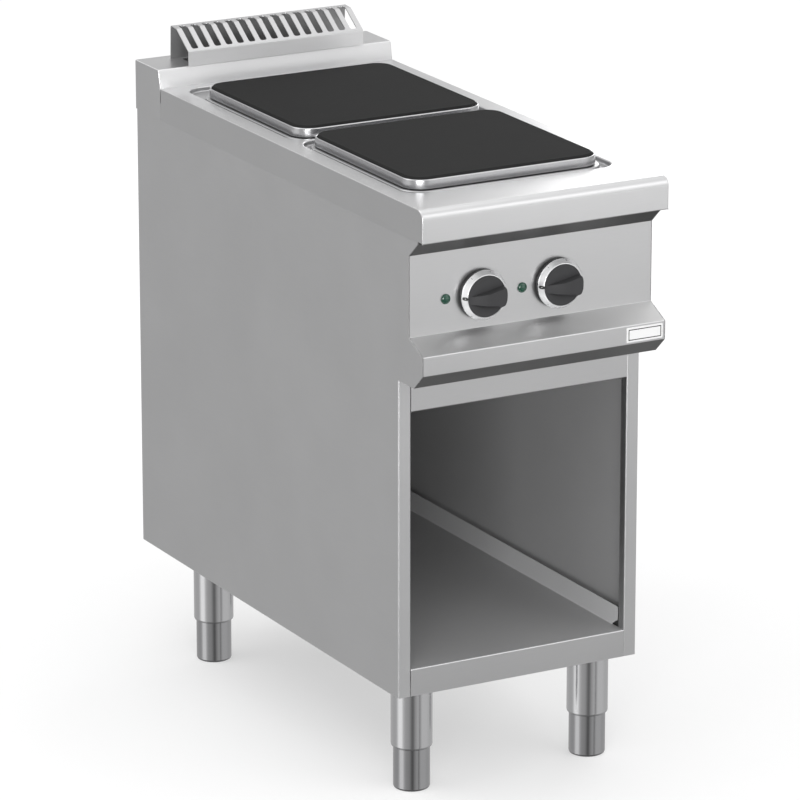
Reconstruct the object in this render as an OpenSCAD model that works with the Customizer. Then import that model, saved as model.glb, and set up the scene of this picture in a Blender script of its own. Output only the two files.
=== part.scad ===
// Free-standing two-plate electric range on an open cabinet.
// Front faces -Y, +Z is up, the origin is on the floor at the centre of the footprint.

/* [Body] */
// Overall width
unit_w = 400; // [396:1:410]
// Overall depth, apron face to rear edge
unit_d = 900; // [890:1:910]
// Height of the worktop above the floor
worktop_z = 900; // [896:1:904]
// Overall height, with the flue grille
grille_z = 980; // [976:1:984]
// Height of the cabinet's lower edge above the floor
cabinet_z = 160; // [156:1:164]
// Thickness of the cabinet's sheet steel
sheet = 1.2; // [1:0.1:1.5]
// Thickness of the worktop's sheet steel
top_sheet = 1.5; // [1.2:0.1:2]

/* [Worktop] */
// Radius of the worktop's rounded front edge
nose_r = 14; // [10:1:18]
// Depth of the apron and of the side skirts
apron_h = 48; // [44:1:50]
// Depth of the pressed recess around each plate
recess_h = 8; // [6:0.5:9]
// Distance from the centre line to the recess's side
recess_x = 170; // [168:1:174]
// Corner radius of the recess
recess_r = 30; // [20:1:36]
// Depth of the rear riser, front to back
riser_d = 85; // [82:1:90]
// Height of the riser above the worktop
riser_h = 28; // [24:1:32]
// Width of the flue grille
grille_w = 300; // [296:1:310]
// Number of slots in the flue grille
slot_n = 15; // [11:1:15]

/* [Hot plates] */
// Side of a square cast-iron plate
plate_w = 306; // [300:1:308]
// Corner radius of a plate
plate_r = 27; // [20:1:30]
// Clear distance between the two plates
plate_gap = 31; // [28:1:34]
// Width of the steel rim round a plate
rim_w = 3.5; // [2.5:0.5:4]
// Diameter of the stud under a plate
stud_d = 10; // [8:1:12]

/* [Controls] */
// Height of the knobs above the floor
knob_z = 756; // [752:1:760]
// Diameter of a dial ring
dial_d = 73; // [70:1:76]
// Diameter of a knob's disc
knob_d = 60; // [56:1:62]
// Diameter of a pilot lamp's lens
lens_d = 15; // [13:1:16]
// Diameter of a switch shaft
shaft_d = 6; // [5:0.5:8]

/* [Cabinet] */
// Width of the folded front stile of a side panel
stile_w = 22; // [20:1:24]
// Distance of the cabinet's front behind the apron
cabinet_set = 72; // [68:1:76]
// Height of the floor shelf above the floor
shelf_z = 201; // [199:1:203]
// Height of the opening's upper edge above the floor
opening_z = 587; // [580:1:590]
// Height of the floor shelf's upturned flanges
flange_h = 31; // [25:1:35]

/* [Legs] */
// Distance of the legs from the centre line
leg_x = 148; // [144:1:150]
// Diameter of a leg sleeve
sleeve_d = 61; // [61:0.5:63]
// Diameter of an adjustable foot
foot_d = 54; // [52:0.5:54]
// Visible height of a foot
foot_h = 65; // [60:1:70]
// Diameter of a foot's spindle
spindle_d = 16; // [12:1:18]

/* [Services] */
// Bore of the cable gland
gland_bore = 16; // [12:1:18]
// Diameter of the bonding stud
bond_d = 6; // [5:1:8]

/* [Hidden] */

$fn = 48;
// Clear gap between sheets that lie on each other
lap = 0.2;
// Running clearance of a shaft or a spindle, radial
run = 0.05;
half_w = unit_w / 2;
front_y = -unit_d / 2;
rear_y = unit_d / 2;
apron_z = worktop_z - apron_h;
riser_y = rear_y - riser_d;
cab_y = front_y + cabinet_set;

// Side panels stand just inside the worktop's skirts
side_x = half_w - top_sheet - lap / 2;
side_top = worktop_z - 23;
tab_y = front_y + 30;
tab_rear_y = rear_y - 4;
stile_x = half_w - stile_w;
inner_x = side_x - sheet - lap;
return_d = 15;
back_y = rear_y - 22;

// Riser and grille: the riser's front leans back, the grille slopes up to a narrow crest
riser_lean = 6;
grille_rise_d = 40;
grille_d = 60;

// Control housing, as points (y, z) from the apron down to the cabinet front
apron_lip = 13;
panel_y = front_y + 42;
nose_y = front_y + 2;
under_y = front_y + 27;
panel_top = apron_z - 26;
panel_low = 707;
nose_top = 688;
nose_low = 660;
housing_low = 637;
housing = [[front_y + apron_lip, apron_z], [panel_y, panel_top], [panel_y, panel_low], [nose_y, nose_top],
    [nose_y, nose_low], [under_y, housing_low], [cab_y, housing_low]];

// Hot plates
plate_top = worktop_z + 15;
rim_top = worktop_z + 12;
rim_low = worktop_z - 1.5;
plate_pitch = plate_w + plate_gap;
plate_mid = front_y + 434.5;
front_plate_y = plate_mid - plate_pitch / 2;
rear_plate_y = plate_mid + plate_pitch / 2;
rim_out = plate_w + 2 * rim_w;
collar_w = rim_out + 12;
collar_z = worktop_z - 3;
hole_w = plate_w - 16;
recess_land = 8;
recess_front = front_y + 90;
recess_rear = front_y + 797;
tray_z = worktop_z - recess_h;
body_w = hole_w - 6;
body_z = worktop_z - 18;
bar_z = body_z - 24;
plate_bevel = 2.5;
element_sides = [240, 150];
terminal_h = 15;

// Controls: one knob and one lamp to its left, on each side
left_knob_x = -82;
right_knob_x = 42;
lamp_off = -57.5;
bezel_y = panel_y - 8;
disc_y = bezel_y - 10;
grip_y = disc_y - 10;
grip_r = 28;
switch_y = panel_y + sheet + lap;

// Legs
front_leg_y = front_y + 124;
rear_leg_y = front_y + 757;
leg_plate_w = 72;
leg_plate_t = 3;
web_z = cabinet_z + 1 + leg_plate_t;
sleeve_in = foot_d + 3;
nut_z = 132;
nut_t = 10;

// Heights of the wiring runs, under the heat shield
shield_z = 800;
shield_mid = -10;
shield_d = 680;
front_lead_z = shield_z - 13;
rear_lead_z = shield_z - 5;
lead_x = 110;
lead_y = [front_plate_y + 35, rear_plate_y + 35];

// Services on the back panel
gland_x = 120;
gland_z = 680;
bond_x = -120;
bond_z = 250;
ceiling_z = opening_z + 2 * sheet;
vent_top = apron_z - 60;
vent_pitch = 14;
back_screw_z = [190, 380, 570, 830];

steel = [0.76, 0.76, 0.77];
dark = [0.16, 0.16, 0.17];
iron = [0.2, 0.2, 0.2];

// Unit direction from point a to point b
function dir(a, b) = (b - a) / norm(b - a);
// Left normal of the segment that starts at point i
function nrm(p, i) = let (d = dir(p[i], p[i + 1])) [-d[1], d[0]];
// Point i of path p, moved t to the left with mitred corners
function mitre(p, i, t) = let (
        last = len(p) - 1,
        a = nrm(p, i == 0 ? 0 : i - 1),
        b = nrm(p, i == last ? last - 1 : i)
    ) p[i] + (a + b) * t / (1 + a * b);
// Outline of a sheet of thickness t folded along path p
function folded(p, t) = concat(p, [for (i = [len(p) - 1:-1:0]) mitre(p, i, t)]);

// Extrudes a (y, z) outline along X, centred on x
module along_x(x, w) {
    translate([x, 0, 0]) rotate([90, 0, 90]) linear_extrude(w, center = true) children();
}

// Extrudes an (x, z) outline along Y, centred on y
module along_y(y, d) {
    translate([0, y, 0]) rotate([90, 0, 0]) linear_extrude(d, center = true) children();
}

// Flat sheet or block between two opposite corners
module block(a, b) {
    translate(a) cube(b - a);
}

// Square or rectangle with true round corners
module round_rect(w, d, r) {
    square([w - 2 * r, d], center = true);
    square([w, d - 2 * r], center = true);
    for (x = [-1, 1], y = [-1, 1]) translate([x * (w / 2 - r), y * (d / 2 - r)]) circle(r);
}

// Upright prism on a rounded rectangle
module round_slab(w, d, r, z, h) {
    translate([0, 0, z]) linear_extrude(h) round_rect(w, d, r);
}

// Rounded ring between an outer and an inner square
module round_ring(w_out, r_out, w_in, r_in, z, h) {
    translate([0, 0, z]) linear_extrude(h) difference() {
        round_rect(w_out, w_out, r_out);
        round_rect(w_in, w_in, r_in);
    }
}

// Side outline (y, z) of the worktop, inset by t on the front and the top
module worktop_side(t) {
    r = nose_r - t;
    y = front_y + t;
    z = worktop_z - t;
    translate([y, apron_z]) square([riser_y - y, z - r - apron_z]);
    translate([y + r, apron_z]) square([riser_y - y - r, z - apron_z]);
    translate([y + r, z - r]) circle(r);
}

// Plan outline of the recess round one plate, grown by g
module recess_plan(front, g) {
    y0 = front ? recess_front : plate_mid + recess_land / 2;
    y1 = front ? plate_mid - recess_land / 2 : recess_rear;
    translate([0, (y0 + y1) / 2]) round_rect(2 * recess_x + 2 * g, y1 - y0 + 2 * g, recess_r + g);
}

// Worktop: rounded apron, side skirts and two recesses, each with a raised collar round its hole
module worktop() {
    tray = [[true, front_plate_y], [false, rear_plate_y]];
    color(steel) difference() {
        union() {
            difference() {
                along_x(0, unit_w) worktop_side(0);
                along_x(0, unit_w - 2 * top_sheet) worktop_side(top_sheet);
                block([-half_w + top_sheet, front_y + top_sheet, apron_z - 1],
                    [half_w - top_sheet, riser_y + 1, apron_z + 1]);
            }
            block([-half_w + top_sheet, front_y + top_sheet / 2, apron_z],
                [half_w - top_sheet, front_y + apron_lip, apron_z + top_sheet]);
            block([-half_w + top_sheet, riser_y - top_sheet, side_top + 1],
                [half_w - top_sheet, riser_y, worktop_z - 1]);
            for (t = tray) translate([0, 0, tray_z - top_sheet])
                linear_extrude(recess_h) recess_plan(t[0], top_sheet);
        }
        for (t = tray) {
            difference() {
                translate([0, 0, tray_z]) linear_extrude(recess_h + 1) recess_plan(t[0], 0);
                translate([0, t[1], 0]) round_slab(collar_w, collar_w, plate_r + 9, tray_z - 1,
                    collar_z - tray_z + 1);
            }
            translate([0, t[1], 0]) round_slab(hole_w, hole_w, plate_r - 6, tray_z - 9, 40);
            translate([0, t[1], 0]) round_slab(collar_w - 4, collar_w - 4, plate_r + 7, tray_z - 9,
                collar_z - top_sheet - tray_z + 9);
        }
    }
}

// Rear riser: folded box with its own skirts and a flue outlet under the grille
module rear_riser() {
    z = worktop_z + riser_h;
    y = riser_y + lap;
    rise = [[y, worktop_z], [y + riser_lean, z], [rear_y, z], [rear_y, apron_z]];
    outline = concat([[y, apron_z]], rise);
    skin = concat([[y, worktop_z - 20]], rise);
    color(steel) {
        difference() {
            along_x(0, unit_w) polygon(folded(skin, -top_sheet));
            translate([0, riser_y + grille_rise_d, z]) cube([grille_w - 30, 36, 10], center = true);
        }
        for (s = [-1, 1]) along_x(s * (half_w - top_sheet / 2), top_sheet) polygon(outline);
    }
}

// Flue grille: one bent sheet, open at both ends, slotted over its slope and crest
module flue_grille() {
    y = riser_y + 3;
    z = worktop_z + riser_h + lap;
    path = [[y, z], [y, z + 23], [y + grille_rise_d, grille_z - 1.5], [y + grille_d, grille_z],
        [y + grille_d + 2, z]];
    pitch = (grille_w - 9) / slot_n;
    slot_w = pitch * 0.57;
    color(steel) difference() {
        along_x(0, grille_w) polygon(folded(path, -top_sheet));
        for (i = [0:slot_n - 1])
            translate([(i - (slot_n - 1) / 2) * pitch, y + 28, z + 20])
                linear_extrude(60) round_rect(slot_w, 48, 3);
    }
}

// Side panel: outer sheet shaped to the control housing, folded into the stile and the rear flange
module side_panel(s) {
    tab = [[tab_rear_y, apron_z], [tab_rear_y, side_top], [tab_y, side_top], [tab_y, apron_z]];
    outline = concat(housing, [[cab_y, cabinet_z], [rear_y, cabinet_z], [rear_y, apron_z - lap],
        [tab_rear_y, apron_z - lap]], tab);
    stile = [[side_x, cab_y], [stile_x, cab_y], [stile_x, cab_y + return_d]];
    color(steel) {
        along_x(s * (side_x - sheet / 2), sheet) polygon(outline);
        mirror([s < 0 ? 1 : 0, 0, 0]) {
            translate([0, 0, cabinet_z]) linear_extrude(housing_low - cabinet_z - lap)
                polygon(folded(stile, -sheet));
            block([stile_x, rear_y - sheet, cabinet_z], [side_x - sheet / 2, rear_y, apron_z - lap]);
        }
    }
}

// Back panel: flat sheet set in from the rear edge, with cooling slots and two service holes
module back_panel() {
    slot = [60, 5];
    color(steel) difference() {
        block([-inner_x, back_y, cabinet_z + 1], [inner_x, back_y + sheet, side_top]);
        for (x = [-110, 0], i = [0:5])
            along_y(back_y, 10) translate([x, vent_top - i * vent_pitch])
                round_rect(slot[0], slot[1], slot[1] / 2 - 0.1);
        translate([gland_x, back_y, gland_z]) rotate([90, 0, 0]) cylinder(h = 10, r = 12.7, center = true);
        translate([bond_x, back_y, bond_z]) rotate([90, 0, 0])
            cylinder(h = 10, r = bond_d / 2 + 0.2, center = true);
        for (p = back_screw_places()) translate([p[0], back_y, p[1]]) rotate([90, 0, 0])
            cylinder(h = 10, r = 2.2, center = true);
    }
}

function back_screw_places() = [for (x = [-1, 1], z = back_screw_z) [x * (inner_x - 9), z]];

// Floor shelf: its front turns down as the bottom rail, its other sides turn up past a bend relief
module floor_shelf() {
    x = stile_x - 1.4;
    y1 = back_y - 1;
    y_up = cab_y + return_d + 0.6;
    z0 = shelf_z - sheet;
    lip = [[cab_y, cabinet_z], [cab_y, shelf_z], [cab_y + 30, shelf_z]];
    relief = [[y_up - 1, z0 - 1], [y_up + 7, z0 - 1], [y_up + 7, shelf_z], [y_up - 1, shelf_z + 8]];
    color(steel) difference() {
        union() {
            along_x(0, 2 * (stile_x - lap)) polygon(folded(lip, -sheet));
            block([-x, cab_y + 20, z0], [x, y1, shelf_z]);
            for (s = [-1, 1]) along_x(s * (x - sheet / 2), sheet)
                polygon([[y_up, z0], [y_up, shelf_z + flange_h], [y1, shelf_z + flange_h], [y1, z0]]);
            block([-x, y1 - sheet, z0], [x, y1, shelf_z + flange_h]);
        }
        for (s = [-1, 1]) along_x(s * x, 5 * sheet) polygon(relief);
    }
}

// Base channel: U-section across the cabinet that carries two legs
module base_channel(y) {
    w = leg_plate_w + 1;
    path = [[y - w / 2, shelf_z - sheet - lap], [y - w / 2, web_z], [y + w / 2, web_z],
        [y + w / 2, shelf_z - sheet - lap]];
    color(steel) difference() {
        along_x(0, 2 * inner_x) polygon(folded(path, 2));
        for (s = [-1, 1]) translate([s * leg_x, y, web_z - 1]) {
            cylinder(h = 5, r = spindle_d / 2 + 2);
            for (p = leg_screw_places()) translate(p) cylinder(h = 5, r = 4.3);
        }
    }
}

function leg_screw_places() = let (o = leg_plate_w / 2 - 9)
    [for (x = [-1, 1], y = [-1, 1]) [x * o, y * o, 0]];

// Fascia rail over the opening, with its flanges turned back
module fascia_rail() {
    path = [[cab_y + 26, opening_z], [cab_y, opening_z], [cab_y, housing_low - lap],
        [cab_y + 26, housing_low - lap]];
    color(steel) difference() {
        along_x(0, 2 * (stile_x - lap)) polygon(folded(path, -sheet));
        panel_screw_holes();
    }
}

// Ceiling of the compartment, which closes the electrical space
module compartment_ceiling() {
    y0 = cab_y + return_d + 1;
    z = ceiling_z + lap;
    path = [[-inner_x, z + 16], [-inner_x, z], [inner_x, z], [inner_x, z + 16]];
    color(steel) along_y((y0 + back_y - 1) / 2, back_y - 1 - y0) polygon(folded(path, sheet));
}

// Control panel: one bent sheet from under the apron to the underside of the nose
module control_panel() {
    path = [[front_y + apron_lip, apron_z - lap], for (i = [1:5]) housing[i], [cab_y + 24, housing_low]];
    color(steel) difference() {
        along_x(0, 2 * (side_x - sheet - lap)) polygon(folded(path, sheet));
        for (x = [left_knob_x, right_knob_x]) {
            translate([x, panel_y, knob_z]) rotate([90, 0, 0]) cylinder(h = 10, r = 5, center = true);
            translate([x + lamp_off, panel_y, knob_z]) rotate([90, 0, 0])
                cylinder(h = 10, r = lens_d / 2 - 1.3, center = true);
        }
        panel_screw_holes();
    }
}

// Centres of the screws that join the control panel's lower flange to the fascia rail
function panel_screw_places() = [for (x = [-150, 0, 150]) [x, cab_y + 15, housing_low]];

// Holes for those screws
module panel_screw_holes() {
    for (p = panel_screw_places()) translate(p) cylinder(h = 10, r = 2.2, center = true);
}

// Blank badge plate at the right end of the nose
module badge_plate() {
    color([0.95, 0.95, 0.95]) along_y(nose_y - 0.5, 0.8) translate([half_w - 36, 674])
        round_rect(60, 22, 1.5);
}

// Heat shield: shallow pan between the plates and the wiring
module heat_shield() {
    wall_z = shield_z + 24;
    path = [[-inner_x, wall_z], [-inner_x, shield_z], [inner_x, shield_z], [inner_x, wall_z]];
    color(steel) difference() {
        along_y(shield_mid, shield_d) polygon(folded(path, sheet));
        for (y = lead_y) translate([lead_x, y, shield_z]) cube([30, 30, 10], center = true);
    }
}

// Cast-iron plate with a bevelled top edge, a sunk lower body and a central stud
module plate(y) {
    edge_z = plate_top - plate_bevel;
    color(iron) translate([0, y, 0]) {
        round_slab(plate_w, plate_w, plate_r, worktop_z - 1, edge_z - worktop_z + 1);
        hull() for (x = [-1, 1], v = [-1, 1])
            translate([x, v, 0] * (plate_w / 2 - plate_r) + [0, 0, edge_z])
                cylinder(h = plate_bevel, r1 = plate_r, r2 = plate_r - plate_bevel, $fn = 32);
        difference() {
            round_slab(body_w, body_w, plate_r - 9, body_z, worktop_z - body_z);
            for (g = element_sides) round_ring(g + 9, plate_r - 12, g - 9, 12, body_z - 1, 11);
        }
        translate([0, 0, bar_z - 16]) cylinder(h = body_z - bar_z + 17, r = stud_d / 2);
    }
}

// Steel rim that stands round a plate
module plate_rim(y) {
    color(steel) translate([0, y, 0])
        round_ring(rim_out, plate_r + rim_w, plate_w + 2 * lap, plate_r + lap, rim_low, rim_top - rim_low);
}

// Seal between the plate's rim and the worktop's collar
module plate_seal(y) {
    color(dark) translate([0, y, 0])
        round_ring(plate_w - 2, plate_r - 1, hole_w + 2, plate_r - 5, collar_z, worktop_z - 1 - collar_z);
}

// Heating element: two square loops that lie in the plate's grooves
module heating_element(y) {
    color([0.45, 0.3, 0.25]) translate([0, y, 0])
        for (g = element_sides) round_ring(g + 6, plate_r - 13, g - 6, 13, body_z + 1, 7);
}

// Sheet cover that closes the plate's underside
module plate_cover(y) {
    color(steel) translate([0, y, 0]) difference() {
        round_slab(body_w - 4, body_w - 4, plate_r - 11, body_z - 1 - lap, 1);
        cylinder(h = 3 * worktop_z, r = stud_d / 2 + 0.5, center = true);
    }
}

// Clamp bar: its turned-up ends press on the worktop's underside
module clamp_bar(y) {
    x = recess_x - 3;
    up = tray_z - top_sheet - lap;
    path = [[-x, up], [-x, bar_z], [x, bar_z], [x, up]];
    color(steel) difference() {
        along_y(y, 30) polygon(folded(path, 3));
        translate([0, y, bar_z - 5]) cylinder(h = 15, r = stud_d / 2 + 0.5);
    }
}

// Washer and nut on each plate's stud
module clamp_nuts() {
    for (y = [front_plate_y, rear_plate_y]) color([0.8, 0.8, 0.7]) translate([0, y, 0]) difference() {
        union() {
            translate([0, 0, bar_z - 2]) cylinder(h = 2, r = 11);
            translate([0, 0, bar_z - 10]) cylinder(h = 8.1, r = 9.2, $fn = 6);
        }
        translate([0, 0, bar_z - 12]) cylinder(h = 20, r = stud_d / 2 + run);
    }
}

// Ceramic terminal under each plate, beside the clamp bar
module plate_terminals() {
    z = body_z - 1 - 2 * lap - terminal_h / 2;
    for (y = lead_y)
        color([0.9, 0.88, 0.82]) translate([lead_x, y, z]) cube([40, 28, terminal_h], center = true);
}

// Rotary cam switch behind the panel
module cam_switch(x) {
    color(dark) difference() {
        union() {
            block([x - 21, switch_y, knob_z - 21], [x + 21, switch_y + 34, knob_z + 21]);
            block([x - 24, switch_y + 8, knob_z - 16], [x + 24, switch_y + 30, knob_z + 16]);
        }
        translate([x, switch_y - 1, knob_z]) rotate([-90, 0, 0]) cylinder(h = 26, r = shaft_d / 2 + run);
    }
}

// Shaft from the switch into the knob
module switch_shaft(x) {
    color([0.8, 0.8, 0.8]) translate([x, disc_y + 2, knob_z]) rotate([-90, 0, 0])
        cylinder(h = switch_y + 20 - disc_y - 2, r = shaft_d / 2);
}

// Knob: round disc with a wedge grip that ramps up from the left and widens to the right
module knob(x) {
    wedge = [[-grip_r, -9], [24, -15], [grip_r + 1, -15], [grip_r + 1, 12], [0, 5.5], [-grip_r, 2.5]];
    ramp = [[-grip_r, disc_y + 1], [-grip_r, disc_y], [-3, grip_y], [grip_r + 1, grip_y],
        [grip_r + 1, disc_y + 1]];
    color(dark) translate([x, 0, knob_z]) difference() {
        union() {
            rotate([90, 0, 0]) translate([0, 0, -bezel_y + 0.5])
                cylinder(h = bezel_y - disc_y - 0.5, r = knob_d / 2);
            intersection() {
                rotate([90, 0, 0]) translate([0, 0, -disc_y - 1]) linear_extrude(14) intersection() {
                    polygon(wedge);
                    circle(r = grip_r);
                }
                linear_extrude(2 * dial_d, center = true) polygon(ramp);
            }
        }
        translate([0, disc_y + 2 - run, 0]) rotate([-90, 0, 0]) cylinder(h = 20, r = shaft_d / 2 + run);
    }
}

// Chrome ring that carries the scale: a cone that rises round the knob's disc
module dial_ring(x) {
    r = dial_d / 2;
    bore = knob_d / 2 + 0.4;
    color([0.9, 0.9, 0.9]) translate([x, 0, knob_z]) rotate([90, 0, 0]) rotate_extrude()
        polygon([[bore, -bezel_y + lap], [r, -bezel_y + lap], [r, -bezel_y + 1.5], [bore + 0.8, -disc_y - 1],
            [bore, -disc_y - 1]]);
}

// Moulded base that carries the dial ring on the panel
module bezel(x) {
    r = dial_d / 2;
    color(dark) translate([x, 0, knob_z]) rotate([90, 0, 0]) rotate_extrude()
        polygon([[5, -panel_y + lap], [r - 5, -panel_y + lap], [r - 5, -panel_y + 1.5],
            [r, -panel_y + 2.5], [r, -bezel_y], [5, -bezel_y]]);
}

// Green lens of a pilot lamp, through the panel
module pilot_lens(x) {
    r = lens_d / 2;
    color([0.1, 0.5, 0.3]) translate([x + lamp_off, 0, knob_z]) rotate([90, 0, 0]) rotate_extrude()
        polygon([[0, -panel_y - 6], [r - 1.5, -panel_y - 6], [r - 1.5, -panel_y + lap],
            [r, -panel_y + lap], [r, -panel_y + 1], [r - 1.2, -panel_y + 2], [r - 3, -panel_y + 3],
            [0, -panel_y + 3.6]]);
}

// Lamp bodies behind the two lenses
module pilot_lamp_bodies() {
    for (x = [left_knob_x, right_knob_x]) color([0.85, 0.85, 0.8])
        translate([x + lamp_off, panel_y + 6 + lap, knob_z]) rotate([-90, 0, 0]) cylinder(h = 24, r = 8);
}

// Mains terminal block on the ceiling
module terminal_block() {
    z = ceiling_z + sheet + 2 * lap;
    color([0.9, 0.9, 0.85]) difference() {
        block([gland_x - 35, back_y - 70, z], [gland_x + 35, back_y - 40, z + 26]);
        for (x = [-25:12.5:25]) translate([gland_x + x, back_y - 55, z + 14]) cylinder(h = 20, r = 3.5);
    }
}

// Cable gland through the back panel
module cable_gland() {
    r = gland_bore / 2;
    color(dark) translate([gland_x, 0, gland_z]) rotate([-90, 0, 0]) difference() {
        union() {
            translate([0, 0, back_y - 14]) cylinder(h = 20, r = 12.5);
            translate([0, 0, back_y - 6 - lap]) cylinder(h = 6, r = 17, $fn = 6);
            translate([0, 0, back_y + sheet + lap]) cylinder(h = 6, r = 17, $fn = 6);
            translate([0, 0, back_y + sheet + 6]) cylinder(h = 11, r1 = 15, r2 = 11);
        }
        translate([0, 0, back_y - 20]) cylinder(h = 50, r = r);
    }
}

// Equipotential bonding stud with its two nuts
module bonding_stud() {
    color([0.8, 0.75, 0.5]) translate([bond_x, 0, bond_z]) rotate([-90, 0, 0]) {
        translate([0, 0, back_y - 8]) cylinder(h = 28, r = bond_d / 2);
        for (z = [back_y - 5 - lap, back_y + sheet + lap])
            translate([0, 0, z]) cylinder(h = 5, r = 5.8, $fn = 6);
    }
}

// Round wire bundle along straight runs between points
module wire_run(points, r) {
    for (i = [0:len(points) - 2]) {
        v = points[i + 1] - points[i];
        translate(points[i]) rotate([0, acos(v[2] / norm(v)), atan2(v[1], v[0])])
            cylinder(h = norm(v), r = r, $fn = 16);
        if (i > 0) translate(points[i]) sphere(r, $fn = 16);
    }
}

// Bundle from the terminal block to both switches
module supply_wiring() {
    z = ceiling_z + 20;
    y = cab_y + 40;
    y_up = switch_y + 17;
    z_up = knob_z - 60;
    color([0.3, 0.3, 0.35]) {
        wire_run([[gland_x, back_y - 70 - lap, z], [gland_x, y, z], [left_knob_x, y, z],
            [left_knob_x, y, z_up], [left_knob_x, y_up, z_up], [left_knob_x, y_up, knob_z - 21 - lap]], 4);
        wire_run([[right_knob_x, y, z], [right_knob_x, y, z_up], [right_knob_x, y_up, z_up],
            [right_knob_x, y_up, knob_z - 21 - lap]], 4);
    }
}

// Leads from each switch to its plate's terminals
module plate_wiring() {
    y = switch_y + 17;
    runs = [[left_knob_x, lead_y[0], front_lead_z], [right_knob_x, lead_y[1], rear_lead_z]];
    color([0.6, 0.25, 0.2]) for (p = runs)
        wire_run([[p[0], y, knob_z + 21 + lap], [p[0], y, p[2]], [p[0], p[1], p[2]], [lead_x, p[1], p[2]],
            [lead_x, p[1], body_z - 1 - 3 * lap - terminal_h]], 3.5);
}

// Leg: round sleeve on a square mounting plate, with an inner nut for the spindle
module leg(x, y) {
    r = sleeve_d / 2;
    plate_z = web_z - leg_plate_t - lap;
    color([0.8, 0.8, 0.82]) translate([x, y, 0]) {
        rotate_extrude() polygon([[sleeve_in / 2, foot_h], [r - 1.5, foot_h], [r - 0.5, foot_h + 1],
            [r, foot_h + 3], [r, plate_z + 1], [sleeve_in / 2, plate_z + 1]]);
        difference() {
            union() {
                translate([0, 0, nut_z]) cylinder(h = nut_t, r = sleeve_in / 2 + 0.3);
                round_slab(leg_plate_w, leg_plate_w, 6, plate_z, leg_plate_t);
            }
            cylinder(h = nut_z + nut_t + 1, r = spindle_d / 2 + run);
            translate([0, 0, nut_z + nut_t]) cylinder(h = web_z, r = spindle_d / 2 + 2);
            for (p = leg_screw_places()) translate(p + [0, 0, plate_z - 1]) cylinder(h = 6, r = 4.3);
        }
    }
}

// Adjustable foot: round body with a rounded base on a screwed spindle
module foot(x, y) {
    r = foot_d / 2;
    color([0.8, 0.8, 0.82]) translate([x, y, 0]) rotate_extrude()
        polygon([[0, 0], [r - 3, 0], [r - 0.9, 1.2], [r, 3.5], [r, foot_h + 12], [spindle_d / 2, foot_h + 12],
            [spindle_d / 2, nut_z + nut_t + 10], [0, nut_z + nut_t + 10]]);
}

// Screws that hold the legs' plates under the channels, with their nuts
module leg_screws() {
    color([0.7, 0.7, 0.7]) for (x = [-1, 1], y = [front_leg_y, rear_leg_y], p = leg_screw_places())
        translate([x * leg_x, y, web_z] + p) {
            translate([0, 0, -leg_plate_t - 2 * lap - 3]) cylinder(h = 3, r = 6.5);
            translate([0, 0, -leg_plate_t - 4 * lap]) cylinder(h = leg_plate_t + 9, r = 4);
            translate([0, 0, 2 + lap]) cylinder(h = 5, r = 7, $fn = 6);
        }
}

// Screws round the back panel
module back_panel_screws() {
    color([0.7, 0.7, 0.7]) for (p = back_screw_places())
        translate([p[0], back_y + sheet + lap, p[1]]) rotate([-90, 0, 0]) {
            translate([0, 0, -8]) cylinder(h = 8.5, r = 2);
            cylinder(h = 2.4, r1 = 4, r2 = 2.6);
        }
}

// Screws up through the fascia rail into the control panel's lower flange
module control_panel_screws() {
    color([0.7, 0.7, 0.7]) for (p = panel_screw_places()) translate(p - [0, 0, sheet + 2 * lap]) {
        translate([0, 0, -0.5]) cylinder(h = 9, r = 2);
        translate([0, 0, -2.4]) cylinder(h = 2.4, r1 = 2.6, r2 = 4);
    }
}

worktop();
rear_riser();
flue_grille();
side_panel(-1);  // left_side_panel
side_panel(1);  // right_side_panel
back_panel();
floor_shelf();
base_channel(front_leg_y);  // front_base_channel
base_channel(rear_leg_y);  // rear_base_channel
fascia_rail();
compartment_ceiling();
control_panel();
badge_plate();
heat_shield();
plate(front_plate_y);  // front_plate
plate_rim(front_plate_y);  // front_plate_rim
plate_seal(front_plate_y);  // front_plate_seal
heating_element(front_plate_y);  // front_heating_element
plate_cover(front_plate_y);  // front_plate_cover
clamp_bar(front_plate_y);  // front_clamp_bar
plate(rear_plate_y);  // rear_plate
plate_rim(rear_plate_y);  // rear_plate_rim
plate_seal(rear_plate_y);  // rear_plate_seal
heating_element(rear_plate_y);  // rear_heating_element
plate_cover(rear_plate_y);  // rear_plate_cover
clamp_bar(rear_plate_y);  // rear_clamp_bar
clamp_nuts();
plate_terminals();
cam_switch(left_knob_x);  // left_switch
switch_shaft(left_knob_x);  // left_switch_shaft
knob(left_knob_x);  // left_knob
dial_ring(left_knob_x);  // left_dial_ring
bezel(left_knob_x);  // left_bezel
pilot_lens(left_knob_x);  // left_pilot_lens
cam_switch(right_knob_x);  // right_switch
switch_shaft(right_knob_x);  // right_switch_shaft
knob(right_knob_x);  // right_knob
dial_ring(right_knob_x);  // right_dial_ring
bezel(right_knob_x);  // right_bezel
pilot_lens(right_knob_x);  // right_pilot_lens
pilot_lamp_bodies();
terminal_block();
cable_gland();
bonding_stud();
supply_wiring();
plate_wiring();
leg(-leg_x, front_leg_y);  // front_left_leg
leg(leg_x, front_leg_y);  // front_right_leg
leg(-leg_x, rear_leg_y);  // rear_left_leg
leg(leg_x, rear_leg_y);  // rear_right_leg
foot(-leg_x, front_leg_y);  // front_left_foot
foot(leg_x, front_leg_y);  // front_right_foot
foot(-leg_x, rear_leg_y);  // rear_left_foot
foot(leg_x, rear_leg_y);  // rear_right_foot
leg_screws();
back_panel_screws();
control_panel_screws();
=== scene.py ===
import math

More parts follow.
